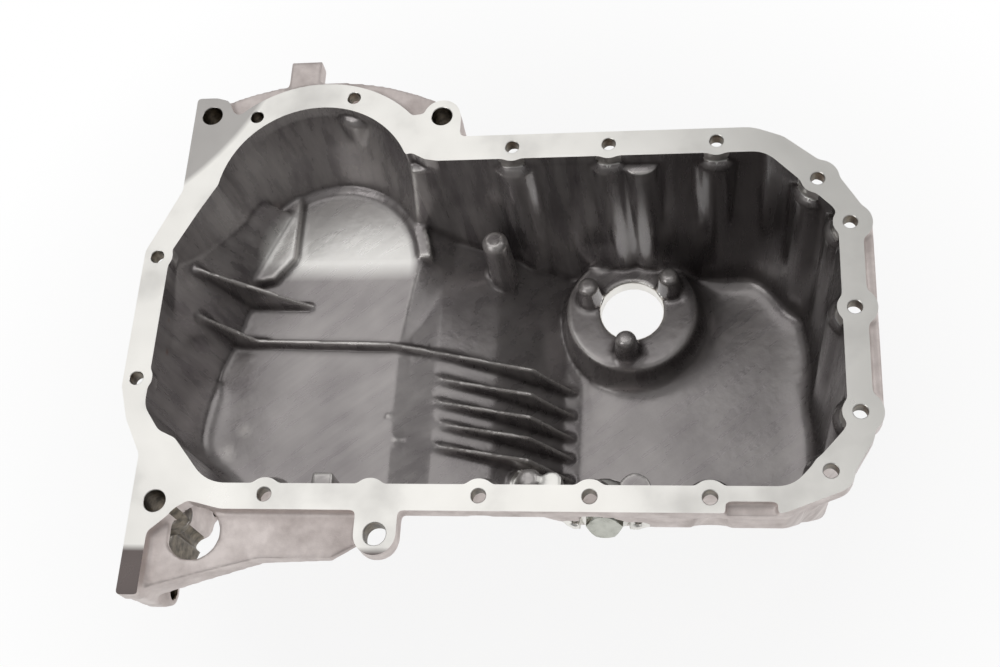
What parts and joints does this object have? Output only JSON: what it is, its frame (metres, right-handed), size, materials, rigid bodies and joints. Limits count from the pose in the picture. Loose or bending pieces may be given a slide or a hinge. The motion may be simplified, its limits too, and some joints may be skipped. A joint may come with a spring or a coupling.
{
  "type": "engine oil pan",
  "caption": "Cast aluminium engine oil pan with a flat gasket flange, a shallow bay, a ribbed ramp, a deep sump and screw plugs.",
  "frame": {"origin": "in the gasket face, midway between the two middle rail bolts", "axes": "+X to the front of the engine, away from the gearbox face, +Y across it, +Z out of the gasket face towards the engine"},
  "size_m": [0.4431, 0.357, 0.166],
  "materials": {
    "cast_aluminium": "as cast, flange milled",
    "plated_steel": "zinc plated",
    "washer_metal": "soft aluminium sealing washer"
  },
  "bodies": {
    "pan": {"pan_casting": "cast_aluminium"},
    "port_washer": {"port_plug_washer": "washer_metal"},
    "port_screw": {"port_plug": "plated_steel"},
    "drain_washer": {"drain_plug_washer": "washer_metal"},
    "drain_screw": {"drain_plug": "plated_steel"}
  },
  "joints": [
    {"name": "port_plug_out", "type": "slide", "parent": "pan", "child": "port_washer", "axis": [0, -0.9135, 0.4067], "range_m": [0, 0.02]},
    {"name": "port_plug_turn", "type": "hinge", "parent": "port_washer", "child": "port_screw", "pos_m": [0.0006, -0.1035, -0.0665], "axis": [0, -0.9135, 0.4067], "range_deg": [0, 4800]},
    {"name": "drain_plug_out", "type": "slide", "parent": "pan", "child": "drain_washer", "axis": [-0.6561, 0, -0.7547], "range_m": [0, 0.02]},
    {"name": "drain_plug_turn", "type": "hinge", "parent": "drain_washer", "child": "drain_screw", "pos_m": [-0.0635, -0.066, -0.1465], "axis": [-0.6561, 0, -0.7547], "range_deg": [0, 4800]}
  ],
  "couplings": [
    {"joint": "port_plug_turn", "follows": "port_plug_out", "rad_per_m": 4188.8},
    {"joint": "drain_plug_turn", "follows": "drain_plug_out", "rad_per_m": 4188.8}
  ]
}
